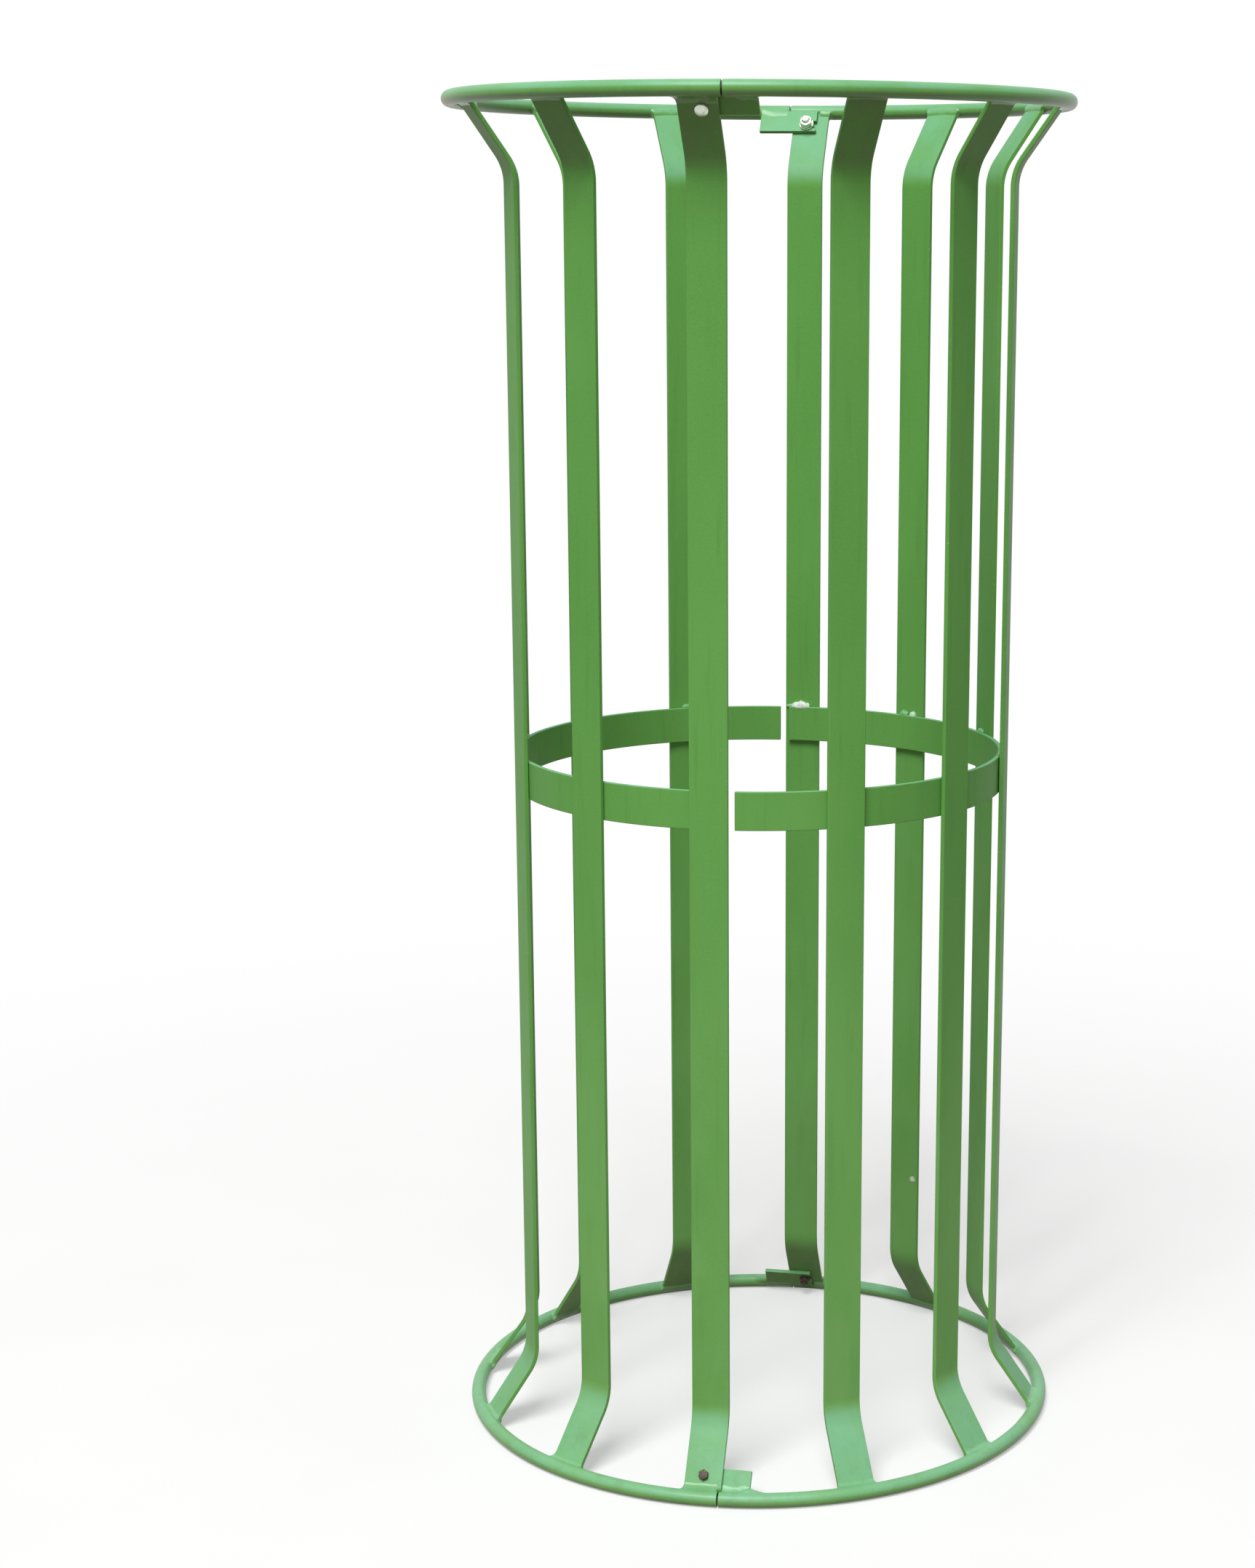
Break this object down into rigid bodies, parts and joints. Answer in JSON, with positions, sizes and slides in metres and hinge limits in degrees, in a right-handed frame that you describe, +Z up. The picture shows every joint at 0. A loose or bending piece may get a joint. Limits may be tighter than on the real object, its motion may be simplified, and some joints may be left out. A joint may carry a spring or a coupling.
{
  "type": "tree guard",
  "caption": "Tall round steel tree guard of flat slats flared out to round-bar rings, with a middle band, in two bolted halves that slide apart.",
  "frame": {"origin": "centre of the bottom of the bounding box, on the ground at the guard's upright axis", "axes": "+Z up along the guard's axis, -Y towards the front of the picture, +X to its right"},
  "size_m": [0.824, 0.824, 1.8],
  "materials": {
    "green_paint": "semi-gloss mid green paint with fine orange peel",
    "zinc_plated_steel": "bright zinc plating, slightly dulled",
    "weathered_steel": "dark weathered steel with traces of rust"
  },
  "bodies": {
    "left_half": {"left_top_ring": "green_paint", "left_bottom_ring": "green_paint", "left_middle_band": "green_paint", "left_slat_1": "green_paint", "left_slat_2": "green_paint", "left_slat_3": "green_paint", "left_slat_4": "green_paint", "left_slat_5": "green_paint", "left_slat_6": "green_paint", "left_top_tab": "green_paint", "left_bottom_tab": "green_paint", "left_top_bolt": "zinc_plated_steel", "left_top_washer": "zinc_plated_steel", "left_top_nut": "zinc_plated_steel", "left_bottom_bolt": "weathered_steel", "left_bottom_washer": "weathered_steel", "left_bottom_nut": "weathered_steel"},
    "right_half": {"right_top_ring": "green_paint", "right_bottom_ring": "green_paint", "right_middle_band": "green_paint", "right_slat_1": "green_paint", "right_slat_2": "green_paint", "right_slat_3": "green_paint", "right_slat_4": "green_paint", "right_slat_5": "green_paint", "right_slat_6": "green_paint", "right_top_tab": "green_paint", "right_bottom_tab": "green_paint", "right_top_bolt": "zinc_plated_steel", "right_top_washer": "zinc_plated_steel", "right_top_nut": "zinc_plated_steel", "right_bottom_bolt": "weathered_steel", "right_bottom_washer": "weathered_steel", "right_bottom_nut": "weathered_steel"}
  },
  "joints": [
    {"name": "halves_part", "type": "slide", "parent": "left_half", "child": "right_half", "axis": [0.9816, -0.1908, 0], "range_m": [0, 0.65]}
  ]
}
